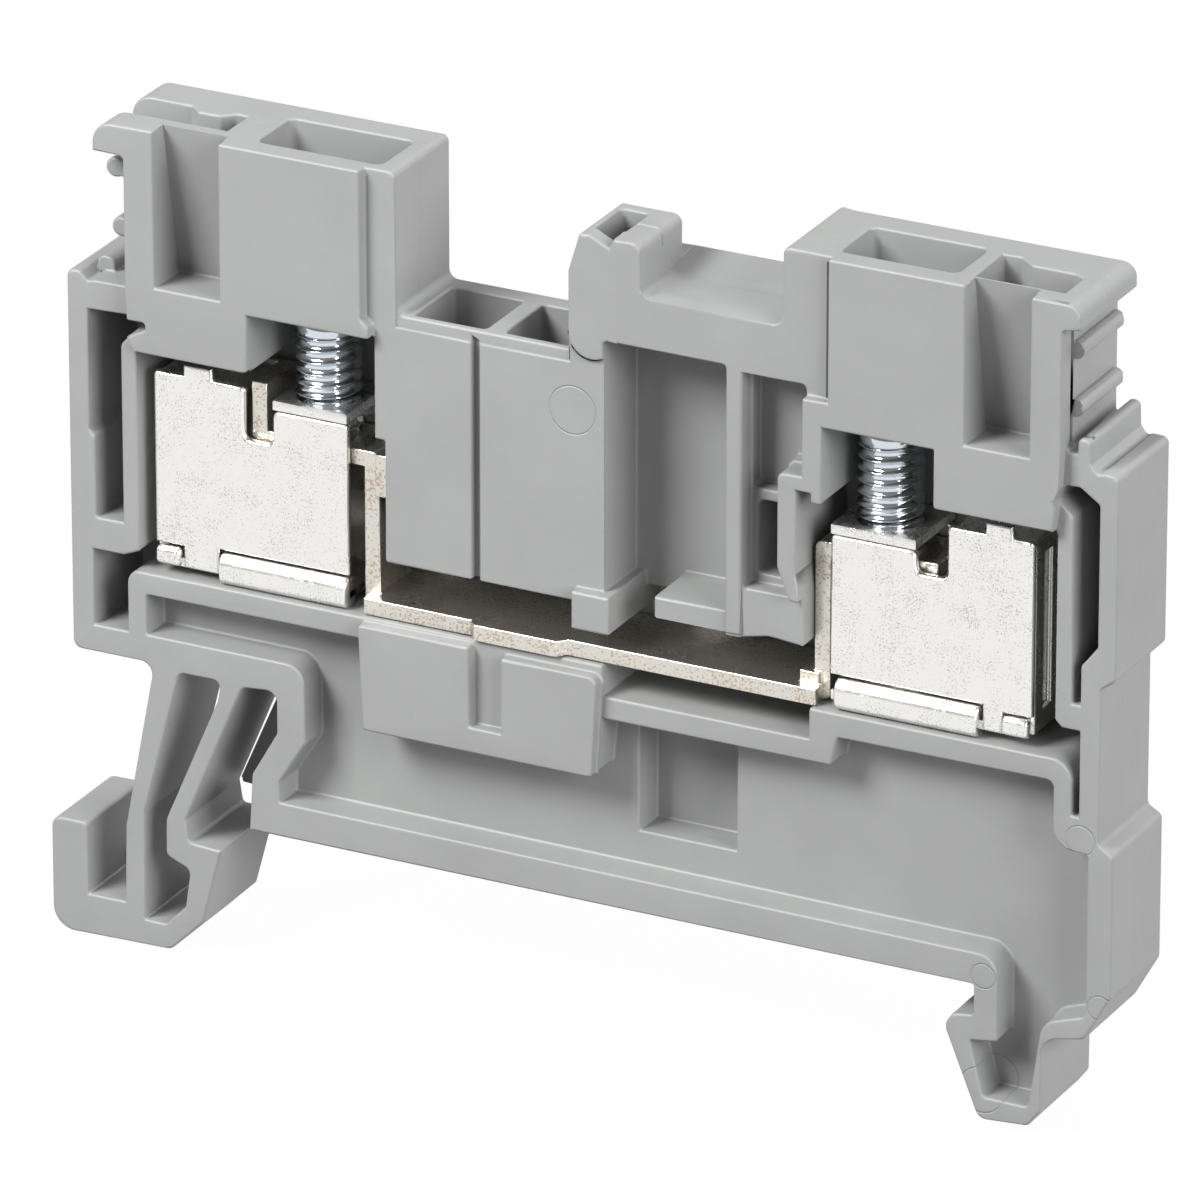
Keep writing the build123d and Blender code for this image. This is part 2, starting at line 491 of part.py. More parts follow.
def cage(kind):
    """One clamping cage: folded sheet with a threaded top, an L-shaped notch and a rolled lip."""
    out, inner = kind["out"], kind["inner"]

    def at(u):
        return inner + out * u

    def span(a, b):
        return tuple(sorted((at(a), at(b))))

    base = FLOOR + CAGE_BASE
    back = CHAMBER_DEPTH - CAGE_PLAY
    low, high = kind["notch"]
    shoulder = kind["top"] - SHEET
    outline = [
        (at(0.3), base + 0.3, 0), (at(0), base + 0.9, 0.1), (at(0), shoulder, 0.2), (at(low), shoulder, 0.3),
        (at(low), NOTCH_FOOT, 0.25),
        (at(high), NOTCH_FOOT, 0.25), (at(high), CAGE_TALL, 0.25), (at(kind["tab"][0]), CAGE_TALL, 0),
        (at(kind["tab"][0]), CAGE_TALL + TAB_RISE, 0), (at(kind["tab"][1]), CAGE_TALL + TAB_RISE, 0),
        (at(kind["tab"][1]), CAGE_TALL, 0), (at(CAGE_LENGTH), CAGE_TALL, 0.1),
        (at(CAGE_LENGTH), base + 0.3, 0.1),
    ]
    body = slab(outline, CAGE_FRONT, CAGE_FRONT + SHEET) + slab(outline, back - SHEET, back)
    body += box(span(0, CAGE_LENGTH - 0.15), (base, base + SHEET), CAGE_FRONT + 0.1, back - 0.1)
    body += box(span(low, 0), (shoulder, kind["top"]), CAGE_FRONT, back)
    roof = (CAGE_TALL - 0.15 - SHEET, CAGE_TALL - 0.15)
    body += box(span(high + 0.15, CAGE_LENGTH - 0.15), roof, CAGE_FRONT + 0.1, back - 0.1)
    hook = Pos(at((HOOK[0] + HOOK[1]) / 2), base + 0.55) * RectangleRounded(HOOK[1] - HOOK[0], 0.8, 0.3)
    body += extrude(Plane.XZ.offset(-(STRIP_Y + CAGE_FRONT + 0.2)) * hook, 0.45)
    lip_y = STRIP_Y + CAGE_FRONT - 0.3 + LIP_DEPTH / 2
    lip_x = span(*kind["lip"])
    lip = Pos(lip_y, FLOOR + LIP_HEIGHT / 2) * RectangleRounded(LIP_DEPTH, LIP_HEIGHT, FOLD_RADIUS)
    body += extrude(Plane.YZ.offset(lip_x[0]) * lip, lip_x[1] - lip_x[0])
    centre = SCREW_LEFT if out < 0 else SCREW_RIGHT
    hole = Circle(THREAD / 2 + THREAD_PLAY)
    body -= extrude(Plane.XY.offset(shoulder - 0.5) * Pos(centre, STRIP_Y + SCREW_DEPTH) * hole, SHEET + 1)
    return body


def screw(centre):
    """One captive clamping screw, with its tip just above the busbar tongue."""
    tip = TONGUE_TOP + BAR_PLAY
    shaft = Cylinder(THREAD / 2, NECK_FOOT - tip, align=(Align.CENTER, Align.CENTER, Align.MIN))
    shaft = chamfer(shaft.edges().sort_by(Axis.Z)[0], 0.3)
    body = Pos(0, 0, tip) * shaft
    standing = (Align.CENTER, Align.CENTER, Align.MIN)
    neck = Cylinder(NECK / 2, HEAD_FLOOR + HEAD_PLAY - NECK_FOOT, align=standing)
    body += Pos(0, 0, NECK_FOOT) * neck
    head = Cylinder(HEAD / 2, HEAD_HEIGHT, align=(Align.CENTER, Align.CENTER, Align.MIN))
    head = chamfer(head.edges().sort_by(Axis.Z)[-1], 0.25)
    width, depth = DRIVER_SLOT
    head -= Pos(0, 0, HEAD_HEIGHT - depth / 2) * Box(HEAD + 1, width, depth)
    body += Pos(0, 0, HEAD_FLOOR + HEAD_PLAY / 2) * head
    return Pos(centre, STRIP_Y + SCREW_DEPTH, 0) * body


def busbar():
    """The folded current bar: a low middle, an upright at each end and a tongue reaching into each cage."""
    low = FLOOR + BAR_PLAY
    back = CHAMBER_DEPTH - SIDE_GAP
    left, right = CAGES["left"], CAGES["right"]
    up_l = left["inner"] + 0.5
    up_r = right["inner"] - 0.9
    end_l = left["inner"] - left["notch"][1] + 0.1
    end_r = right["inner"] + right["notch"][0] + 0.75
    tongue = (TONGUE_TOP - BAR, TONGUE_TOP)
    bar = [
        (up_l, low, 0.3), (up_l, tongue[0], 0), (end_l, tongue[0], 0.2), (end_l, NOTCH_FOOT + 2.4, 0),
        (end_l + BAR, NOTCH_FOOT + 2.4, 0), (end_l + BAR, tongue[1], 0.1), (up_l + BAR, tongue[1], 0.3),
        (up_l + BAR, low + BAR, 0.1), (up_r, low + BAR, 0.1), (up_r, tongue[1], 0.3), (end_r, tongue[1], 0.1),
        (end_r, tongue[0], 0.1), (up_r + BAR, tongue[0], 0), (up_r + BAR, low, 0.3),
    ]
    body = slab(bar, CAGE_FRONT + SHEET + SIDE_GAP, back - SHEET - SIDE_GAP)
    body += box((up_l + 0.3, up_r + BAR - 0.3), (low, low + BAR), BAR_FRONT, back)
    x = BULGE_X
    bulge = [
        (x[0], BAR_FRONT + 0.1), (x[0] + BAR_BULGE, BAR_FRONT - BAR_BULGE),
        (x[1] - BAR_BULGE, BAR_FRONT - BAR_BULGE),
        (x[1], BAR_FRONT + 0.1),
    ]
    body += plan(bulge, (low, low + BAR))
    ear = BAR_FRONT + 0.5
    body += box((up_l + BAR - 0.1, MIDDLE[0] - SIDE_GAP), (tongue[0] - 1.1, tongue[1]), ear, back - 0.9)
    body += box((up_r - 0.55, up_r + 0.3), (low + BAR - 0.1, low + BAR + 0.5), ear, ear + 0.7)
    return body


def main():
    os.makedirs("parts", exist_ok=True)
    nodes = {
        "housing": housing(),
        "left_cage": cage(CAGES["left"]),
        "right_cage": cage(CAGES["right"]),
        "left_screw": screw(SCREW_LEFT),
        "right_screw": screw(SCREW_RIGHT),
        "busbar": busbar(),
    }
    for name, shape in nodes.items():
        solids = shape.solids()
        export_step(solids[0] if len(solids) == 1 else Compound(children=solids), f"parts/{name}.step")
        print(name, len(solids), round(shape.volume, 2), shape.bounding_box())


if __name__ == "__main__":
    main()
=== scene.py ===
import math

import bmesh
import bpy
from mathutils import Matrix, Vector, geometry
from mathutils.bvhtree import BVHTree


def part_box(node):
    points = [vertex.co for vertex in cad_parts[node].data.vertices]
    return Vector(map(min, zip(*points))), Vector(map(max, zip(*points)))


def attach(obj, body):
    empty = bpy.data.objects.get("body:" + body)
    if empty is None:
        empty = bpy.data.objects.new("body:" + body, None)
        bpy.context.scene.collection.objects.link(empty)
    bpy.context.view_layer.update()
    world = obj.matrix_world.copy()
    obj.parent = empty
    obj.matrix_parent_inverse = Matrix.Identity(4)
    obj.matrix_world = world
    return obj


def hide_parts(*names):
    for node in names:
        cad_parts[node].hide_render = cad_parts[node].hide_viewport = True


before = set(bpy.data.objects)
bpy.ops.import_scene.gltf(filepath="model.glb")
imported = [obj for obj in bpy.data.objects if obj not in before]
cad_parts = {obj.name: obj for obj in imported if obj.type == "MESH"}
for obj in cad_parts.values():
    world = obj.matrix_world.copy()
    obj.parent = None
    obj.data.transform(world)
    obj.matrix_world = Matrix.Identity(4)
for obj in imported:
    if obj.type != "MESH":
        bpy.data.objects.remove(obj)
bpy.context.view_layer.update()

MM = 0.001


# Housing
# The real piece is one shot of grey polyamide, moulded open on its front side. Every edge keeps the
# small radius of the tool, and the faces have the fine matt grain of a spark-eroded cavity.
HOUSING_EDGE = 0.11 * MM
POLYAMIDE = (0.245, 0.25, 0.246, 1)
MARK_LINE = 0.05 * MM
# Place of the painted shade: a dark strip in the base colour standing for the shade in a narrow gap beside
# the right tower's pad.
GAP_SHADE_X = 11.17 * MM
GAP_SHADE_WIDTH = 0.2 * MM
GAP_SHADE_Y = -1.9 * MM
GAP_SHADE_Z = (23.75 * MM, 29.45 * MM)
EJECTORS = (((-0.03, 21.09), 1.02), ((22.16, 7.12), 0.63), ((23.1, 0.1), 0.53), ((18.06, 0.44), 0.53),
            ((18.05, -4.5), 0.97))


def node_input(group, name, kind, value=None):
    """An input socket of a shader group, with its usual value."""
    socket = group.interface.new_socket(name=name, in_out="INPUT", socket_type=kind)
    if value is not None:
        socket.default_value = value


def node_output(group, name, kind):
    group.interface.new_socket(name=name, in_out="OUTPUT", socket_type=kind)


def fine_grain():
    """Shader group: slow drift of tone and fine grain, as a mask and a height."""
    group = bpy.data.node_groups.new("Fine grain", "ShaderNodeTree")
    node_input(group, "Patch size", "NodeSocketFloat", 300.0)
    node_input(group, "Grain size", "NodeSocketFloat", 9000.0)
    node_output(group, "Patches", "NodeSocketFloat")
    node_output(group, "Grain", "NodeSocketFloat")
    nodes, links = group.nodes, group.links
    given = nodes.new("NodeGroupInput")
    out = nodes.new("NodeGroupOutput")
    place = nodes.new("ShaderNodeTexCoord")
    for size, result, detail in (("Patch size", "Patches", 3), ("Grain size", "Grain", 2)):
        noise = nodes.new("ShaderNodeTexNoise")
        noise.inputs["Detail"].default_value = detail
        links.new(place.outputs["Object"], noise.inputs["Vector"])
        links.new(given.outputs[size], noise.inputs["Scale"])
        links.new(noise.outputs["Fac"], out.inputs[result])
    return group


def ejector_ring():
    """Shader group: the thin ring that one ejector pin leaves, around a centre in X and Z."""
    group = bpy.data.node_groups.new("Ejector ring", "ShaderNodeTree")
    node_input(group, "Centre", "NodeSocketVector")
    node_input(group, "Radius", "NodeSocketFloat", MM)
    node_output(group, "Ring", "NodeSocketFloat")
    nodes, links = group.nodes, group.links
    given = nodes.new("NodeGroupInput")
    out = nodes.new("NodeGroupOutput")
    place = nodes.new("ShaderNodeTexCoord")
    flat = nodes.new("ShaderNodeVectorMath")
    flat.operation = "MULTIPLY"
    flat.inputs[1].default_value = (1, 0, 1)
    apart = nodes.new("ShaderNodeVectorMath")
    apart.operation = "DISTANCE"
    off = nodes.new("ShaderNodeMath")
    off.operation = "SUBTRACT"
    size = nodes.new("ShaderNodeMath")
    size.operation = "ABSOLUTE"
    fade = nodes.new("ShaderNodeMapRange")
    fade.inputs["From Max"].default_value = MARK_LINE
    fade.inputs["To Min"].default_value = 1
    fade.inputs["To Max"].default_value = 0
    links.new(place.outputs["Object"], flat.inputs[0])
    links.new(flat.outputs["Vector"], apart.inputs[0])
    links.new(given.outputs["Centre"], apart.inputs[1])
    links.new(apart.outputs["Value"], off.inputs[0])
    links.new(given.outputs["Radius"], off.inputs[1])
    links.new(off.outputs[0], size.inputs[0])
    links.new(size.outputs[0], fade.inputs["Value"])
    links.new(fade.outputs["Result"], out.inputs["Ring"])
    return group


GRAIN = fine_grain()
EJECTOR_RING = ejector_ring()


def new_material(name, colour, roughness, metallic=0.0):
    """A named material with its Principled shader."""
    material = bpy.data.materials.new(name)
    material.use_nodes = True
    shader = material.node_tree.nodes["Principled BSDF"]
    shader.inputs["Base Color"].default_value = colour
    shader.inputs["Roughness"].default_value = roughness
    shader.inputs["Metallic"].default_value = metallic
    return material, shader


def add_grain(material, patch, grain):
    """Places the grain group in a material and returns it."""
    node = material.node_tree.nodes.new("ShaderNodeGroup")
    node.node_tree = GRAIN
    node.inputs["Patch size"].default_value = patch
    node.inputs["Grain size"].default_value = grain
    return node


def tone(material, mask, dark, light, socket):
    """Runs a mask through a two-colour ramp into a socket."""
    ramp = material.node_tree.nodes.new("ShaderNodeValToRGB")
    ramp.color_ramp.elements[0].position, ramp.color_ramp.elements[0].color = 0.3, dark
    ramp.color_ramp.elements[1].position, ramp.color_ramp.elements[1].color = 0.7, light
    material.node_tree.links.new(mask, ramp.inputs["Fac"])
    material.node_tree.links.new(ramp.outputs["Color"], socket)


def bump(material, height, strength, distance, shader):
    """Raises a height into the shader's normal."""
    node = material.node_tree.nodes.new("ShaderNodeBump")
    node.inputs["Strength"].default_value = strength
    node.inputs["Distance"].default_value = distance
    material.node_tree.links.new(height, node.inputs["Height"])
    material.node_tree.links.new(node.outputs["Normal"], shader.inputs["Normal"])


def shade(colour, factor):
    return tuple(c * factor for c in colour[:3]) + (1,)


def math_node(material, operation, first, second):
    """A Math node fed by an output and by another output or a number; gives back its output."""
    node = material.node_tree.nodes.new("ShaderNodeMath")
    node.operation = operation
    for value, socket in ((first, node.inputs[0]), (second, node.inputs[1])):
        if isinstance(value, (int, float)):
            socket.default_value = value
        else:
            material.node_tree.links.new(value, socket)
    return node.outputs[0]


def paint_gap_shade(material, axes, shader):
    """Painted shade: a dark strip in the base colour where a narrow gap runs down the front, beside the pad
    of the right tower; the mesh has only a step there, no groove.
    """
    beside = math_node(material, "ABSOLUTE", math_node(material, "SUBTRACT", axes.outputs["X"], GAP_SHADE_X), 0)
    gap_shade = math_node(material, "LESS_THAN", beside, 0.5 * GAP_SHADE_WIDTH)
    for axis, operation, value in (("Z", "GREATER_THAN", GAP_SHADE_Z[0]), ("Z", "LESS_THAN", GAP_SHADE_Z[1]),
                                   ("Y", "LESS_THAN", GAP_SHADE_Y)):
        gap_shade = math_node(material, "MULTIPLY", gap_shade, math_node(material, operation, axes.outputs[axis], value))
    link = shader.inputs["Base Color"].links[0]
    mix = material.node_tree.nodes.new("ShaderNodeMix")
    mix.data_type = "RGBA"
    # Painted shade: the base colour darkened to 0.22 inside the strip.
    mix.inputs["B"].default_value = shade(POLYAMIDE, 0.22)
    material.node_tree.links.new(gap_shade, mix.inputs["Factor"])
    material.node_tree.links.new(link.from_socket, mix.inputs["A"])
    material.node_tree.links.new(mix.outputs["Result"], shader.inputs["Base Color"])


def polyamide():
    """Matt grey plastic with the fine grain, the ejector marks and the parting line of its tool, and a strip
    of painted shade beside the pad of the right tower.
    """
    material, shader = new_material("Grey polyamide", POLYAMIDE, 0.5)
    grain = add_grain(material, 260, 7000)
    tone(material, grain.outputs["Patches"], shade(POLYAMIDE, 0.96), shade(POLYAMIDE, 1.04),
         shader.inputs["Base Color"])
    height = math_node(material, "MULTIPLY", grain.outputs["Grain"], 0.25)
    place = material.node_tree.nodes.new("ShaderNodeTexCoord")
    axes = material.node_tree.nodes.new("ShaderNodeSeparateXYZ")
    material.node_tree.links.new(place.outputs["Object"], axes.inputs["Vector"])
    front = math_node(material, "LESS_THAN", axes.outputs["Y"], 0)
    for centre, radius in EJECTORS:
        ring = material.node_tree.nodes.new("ShaderNodeGroup")
        ring.node_tree = EJECTOR_RING
        ring.inputs["Centre"].default_value = (centre[0] * MM, 0, centre[1] * MM)
        ring.inputs["Radius"].default_value = radius * MM
        mark = math_node(material, "MULTIPLY", ring.outputs["Ring"], front)
        height = math_node(material, "SUBTRACT", height, mark)
    away = math_node(material, "ABSOLUTE", axes.outputs["Y"], 0)
    seam = math_node(material, "LESS_THAN", away, 0.5 * MARK_LINE)
    height = math_node(material, "ADD", height, seam)
    bump(material, height, 0.85, 0.03 * MM, shader)
    # Painted shade of the narrow gap beside the right tower's pad.
    paint_gap_shade(material, axes, shader)
    return material


# An edge that turns by more than SHARP is rounded, and one that still turns by more than CREASE afterwards
# stays a hard line. STRAY and REACH are shares of the rounding: how far its faces may lie off the CAD skin,
# and its points from the corner that they come from.
SHARP = math.radians(25)
CREASE = math.radians(40)
CORNER = math.radians(69)
NEXT_FACET = math.cos(math.radians(28))
ROUNDING = math.cos(math.radians(55))
SAME_PLANE = 0.99996
FACING = 0.3
ON_SKIN = 0.2
STRAY = 0.8
REACH = 1.9
ROUNDS = 5
WELD = 0.002 * MM
CROSSING = 1e-5


def number_flats(bm, flat):
    """Numbers the flat faces that the triangles make up, and gives back the normal of each."""
    normals = {}
    for seed in bm.faces:
        if seed[flat]:
            continue
        number = len(normals) + 1
        normals[number] = seed.normal.copy()
        seed[flat] = number
        front = [seed]
        while front:
            for edge in front.pop().edges:
                for face in edge.link_faces:
                    if not face[flat] and face.normal.dot(seed.normal) > SAME_PLANE:
                        face[flat] = number
                        front.append(face)
    return normals


def within(place, ends):
    """Whether a place lies inside closed outlines, by the crossings of a line from it."""
    x, y = place
    count = 0
    for a, b in ends:
        if (a.y > y) != (b.y > y) and x < (b.x - a.x) * (y - a.y) / (b.y - a.y) + a.x:
            count += 1
    return count % 2 == 1


def key(place):
    """A place rounded to the welding distance, to find it again."""
    return tuple(round(c / WELD) for c in place)


def lay_flat(bm, faces, home, normal):
    """Lays the triangles of one flat face afresh inside its rim; gives back where the rim crosses itself."""
    own = set(faces)
    rim = list(dict.fromkeys(e for f in faces for e in f.edges if sum(g in own for g in e.link_faces) == 1))
    verts = list(dict.fromkeys(v for e in rim for v in e.verts))
    order = {vert: number for number, vert in enumerate(verts)}
    across = normal.orthogonal().normalized()
    up = normal.cross(across)
    level = normal * faces[0].verts[0].co.dot(normal)
    drawn = [Vector((v.co.dot(across), v.co.dot(up))) / MM for v in verts]
    pairs = [(order[e.verts[0]], order[e.verts[1]]) for e in rim]
    laid = geometry.delaunay_2d_cdt(drawn, pairs, [], 0, CROSSING)
    points, lines, triangles, from_verts, from_lines = laid[:5]
    spoiled = set()
    corners = []
    for number, sources in enumerate(from_verts):
        if sources:
            corners.append(verts[sources[0]])
        else:
            corners.append(bm.verts.new(level + (across * points[number].x + up * points[number].y) * MM))
            corners[-1][home] = corners[-1].co
        if len(sources) == 1:
            continue
        meeting = [ids for line, ids in zip(lines, from_lines) if number in line]
        touching = [pairs[i] for ids in meeting for i in ids if i < len(pairs)]
        for vert in list(sources) + [end for pair in touching for end in pair]:
            spoiled.add(key(verts[vert][home]))
    ends = [(drawn[a], drawn[b]) for a, b in pairs]
    kept = [t for t in triangles if within((points[t[0]] + points[t[1]] + points[t[2]]) / 3, ends)]
    bmesh.ops.delete(bm, geom=faces, context="FACES_ONLY")
    for triangle in kept:
        trio = [corners[number] for number in triangle]
        if len(set(trio)) < 3 or bm.faces.get(trio):
            continue
        face = bm.faces.new(trio)
        face.normal_update()
        if face.normal.dot(normal) < 0:
            face.normal_flip()
    return spoiled


def round_edges(bm, edges, radius, segments):
    return bmesh.ops.bevel(bm, geom=edges, offset=radius, offset_type="OFFSET", segments=segments,
                           profile=0.5, affect="EDGES", clamp_overlap=False, material=-1)


def round_once(base, normals, skin, edge, segments, spoiled):
    """Rounds a copy of a mesh apart from its spoiled places; gives back the copy and the places it spoils."""
    bm = base.copy()
    home = bm.verts.layers.float_vector["home"]
    flat = bm.faces.layers.int["flat"]
    edges = [e for e in bm.edges if e.is_manifold and e.calc_face_angle(0) > SHARP
             and not any(key(v.co) in spoiled for v in e.verts)]
    for face in round_edges(bm, edges, edge, segments)["faces"]:
        face[flat] = 0
    flats = {}
    for face in bm.faces:
        flats.setdefault(face[flat], []).append(face)
    found = set()
    for number, faces in flats.items():
        if number and len(faces) > 2:
            found |= lay_flat(bm, faces, home, normals[number])
    loose = [e for e in bm.edges if not e.link_faces]
    bmesh.ops.delete(bm, geom=loose, context="EDGES")
    bmesh.ops.remove_doubles(bm, verts=bm.verts, dist=0.25 * WELD)
    for vert in bm.verts:
        shift = vert.co - vert[home]
        if shift.length > REACH * edge:
            vert.co = vert[home] + shift * (REACH * edge / shift.length)
            found.add(key(vert[home]))
    bmesh.ops.triangulate(bm, faces=bm.faces[:])
    for face in bm.faces:
        _, normal, _, distance = skin.find_nearest(face.calc_center_median())
        folded = distance < ON_SKIN * edge and normal.dot(face.normal) < FACING
        if folded or distance > STRAY * edge:
            found |= {key(vert[home]) for vert in face.verts}
    return bm, found


def shading_normals(bm, normals):
    """The normal of each face corner: flat faces stay flat, and the rounding runs from one into the next."""
    flat = bm.faces.layers.int["flat"]
    area = dict.fromkeys(normals, 0.0)
    for face in bm.faces:
        if face[flat]:
            area[face[flat]] += face.calc_area()
    shown = []
    for face in bm.faces:
        own = normals[face[flat]] if face[flat] else face.normal
        turn = NEXT_FACET if face[flat] else ROUNDING
        for loop in face.loops:
            around = loop.vert.link_faces
            numbers = {f[flat] for f in around if f[flat] and normals[f[flat]].dot(own) > turn}
            if numbers:
                total = sum((normals[n] * area[n] for n in numbers), Vector())
            else:
                total = sum((f.normal * f.calc_area() for f in around if f.normal.dot(own) > turn), Vector())
            shown.append(total.normalized() if total.length else own)
    return shown


def smooth_faces(bm):
    """Shades all faces smooth, with a hard line at each crease."""
    for line in bm.edges:
        line.smooth = not (line.is_manifold and line.calc_face_angle(0) > CREASE)
    for face in bm.faces:
        face.smooth = True


def rounded_copy(node, name, edge, segments=2):
    """A copy of a node with its sharp edges rounded. The rounding of a CAD mesh can fold thin triangles over,
    so flat faces are laid afresh, and where a face still folds, the next round leaves that place sharp."""
    base = bmesh.new()
    base.from_mesh(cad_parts[node].data)
    bmesh.ops.remove_doubles(base, verts=base.verts, dist=WELD)
    skin = BVHTree.FromBMesh(base)
    home = base.verts.layers.float_vector.new("home")
    flat = base.faces.layers.int.new("flat")
    for vert in base.verts:
        vert[home] = vert.co
    normals = number_flats(base, flat)
    spoiled = set()
    for turn in range(ROUNDS):
        bm, found = round_once(base, normals, skin, edge, segments, spoiled)
        if turn == ROUNDS - 1 or found <= spoiled:
            break
        spoiled |= found
        bm.free()
    base.free()
    smooth_faces(bm)
    shown = shading_normals(bm, normals)
    bm.verts.layers.float_vector.remove(bm.verts.layers.float_vector["home"])
    bm.faces.layers.int.remove(bm.faces.layers.int["flat"])
    mesh = bpy.data.meshes.new(name)
    bm.to_mesh(mesh)
    bm.free()
    mesh.normals_split_custom_set(shown)
    piece = bpy.data.objects.new(name, mesh)
    bpy.context.scene.collection.objects.link(piece)
    return piece


def finish_piece(piece, node, body, material):
    """Gives a piece its material and puts it in the place of a node."""
    piece.data.materials.clear()
    piece.data.materials.append(material)
    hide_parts(node)
    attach(piece, body)


moulding = rounded_copy("housing", "moulded_housing", HOUSING_EDGE)
finish_piece(moulding, "housing", "block", polyamide())


# Busbar
# The real piece is a strip of copper, blanked and folded, then tin plated. It lies in the tray of the
# housing and its two ends reach through the cages. Warm copper shows through where it was sheared.
def plating_flecks():
    """Shader group: dark flecks and dull patches of a barrel-plated sheet."""
    group = bpy.data.node_groups.new("Plating flecks", "ShaderNodeTree")
    node_input(group, "Fleck size", "NodeSocketFloat", 7000.0)
    node_input(group, "Fleck level", "NodeSocketFloat", 0.36)
    node_output(group, "Flecks", "NodeSocketFloat")
    node_output(group, "Patches", "NodeSocketFloat")
    nodes, links = group.nodes, group.links
    given = nodes.new("NodeGroupInput")
    out = nodes.new("NodeGroupOutput")
    place = nodes.new("ShaderNodeTexCoord")
    small = nodes.new("ShaderNodeTexNoise")
    small.inputs["Detail"].default_value = 4
    links.new(place.outputs["Object"], small.inputs["Vector"])
    links.new(given.outputs["Fleck size"], small.inputs["Scale"])
    wide = nodes.new("ShaderNodeTexNoise")
    wide.inputs["Scale"].default_value = 900
    wide.inputs["Detail"].default_value = 5
    links.new(place.outputs["Object"], wide.inputs["Vector"])
    lean = nodes.new("ShaderNodeMath")
    lean.operation = "MULTIPLY_ADD"
    lean.inputs[1].default_value = 0.3
    links.new(wide.outputs["Fac"], lean.inputs[0])
    links.new(small.outputs["Fac"], lean.inputs[2])
    cut = nodes.new("ShaderNodeMath")
    cut.operation = "SUBTRACT"
    links.new(given.outputs["Fleck level"], cut.inputs[0])
    links.new(lean.outputs[0], cut.inputs[1])
    fade = nodes.new("ShaderNodeMapRange")
    fade.inputs["From Max"].default_value = 0.06
    links.new(cut.outputs[0], fade.inputs["Value"])
    links.new(fade.outputs["Result"], out.inputs["Flecks"])
    links.new(wide.outputs["Fac"], out.inputs["Patches"])
    return group


PLATING = plating_flecks()
TIN = (0.72, 0.69, 0.63, 1)
SHEARED = (0.5, 0.42, 0.34, 1)


def plated(name, colour, dark, roughness, fleck_size, fleck_level):
    """A bright plated metal with dark flecks, dull patches and slightly uneven surface."""
    material, shader = new_material(name, colour, roughness, 1.0)
    flecks = material.node_tree.nodes.new("ShaderNodeGroup")
    flecks.node_tree = PLATING
    flecks.inputs["Fleck size"].default_value = fleck_size
    flecks.inputs["Fleck level"].default_value = fleck_level
    mix = material.node_tree.nodes.new("ShaderNodeMix")
    mix.data_type = "RGBA"
    mix.inputs["A"].default_value = colour
    mix.inputs["B"].default_value = dark
    material.node_tree.links.new(flecks.outputs["Flecks"], mix.inputs["Factor"])
    material.node_tree.links.new(mix.outputs["Result"], shader.inputs["Base Color"])
    dull = math_node(material, "MULTIPLY", flecks.outputs["Patches"], 0.5 * roughness)
    dull = math_node(material, "ADD", dull, 0.75 * roughness)
    worn = math_node(material, "MULTIPLY", flecks.outputs["Flecks"], 0.2)
    material.node_tree.links.new(math_node(material, "ADD", dull, worn), shader.inputs["Roughness"])
    height = math_node(material, "SUBTRACT", flecks.outputs["Patches"], flecks.outputs["Flecks"])
    bump(material, height, 0.35, 0.02 * MM, shader)
    return material


busbar = rounded_copy("busbar", "current_bar", 0.06 * MM)
finish_piece(busbar, "busbar", "block", plated("Tinned copper", TIN, SHEARED, 0.3, 9000, 0.6))


# Clamping cages
# The real pieces are folded from steel strip and nickel plated, with a tumbled, slightly pitted finish.
# The screw runs in the folded top of each and lifts the cage against the busbar. Sizes here are in
# millimetres from the inner end of the cage, and the piece is brought to metres when it is whole.
NICKEL = (0.86, 0.85, 0.82, 1)
PIT = (0.55, 0.54, 0.51, 1)
SHEET = 0.4
CAGE_LENGTH = 8.75
CAGE_FOOT = 10.75
CAGE_FRONT = -1.7
CAGE_BACK = 1.9
CAGE_TALL = 19.1
TAB_TOP = 19.6
NOTCH_FOOT = 16.85
LIP_Y = (-2.0, -0.9)
LIP_Z = (10.4, 11.75)
EAR = (7.55, 8.65)
EAR_Y = (-1.9, -1.3)
EAR_Z = (10.8, 11.6)
THREAD_HOLE = 1.4
WINDOW_Y = (-0.62, 0.14)
WINDOW_Z = (11.7, 18.3)
SCREW_Y = 0.1
LEVEL = 0.01
CAGES = {
    "left": {"inner": -10.3, "out": -1, "notch": (3.35, 4.65), "tab": (6.1, 7.4), "lip": (0.0, 5.75),
             "top": 18.8, "screw": -12.02},
    "right": {"inner": 11.05, "out": 1, "notch": (3.7, 5.05), "tab": (6.66, 7.84), "lip": (0.3, 6.5),
              "top": 18.25, "screw": 12.82},
}


def take_in(bm, piece):
    """Adds a finished shape to a mesh."""
    mesh = bpy.data.meshes.new("shape")
    piece.to_mesh(mesh)
    piece.free()
    bm.from_mesh(mesh)
    bpy.data.meshes.remove(mesh)


def length_along(edge, axis):
    """How far an edge runs along one axis."""
    first, last = (getattr(vert.co, axis) for vert in edge.verts)
    return abs(first - last)


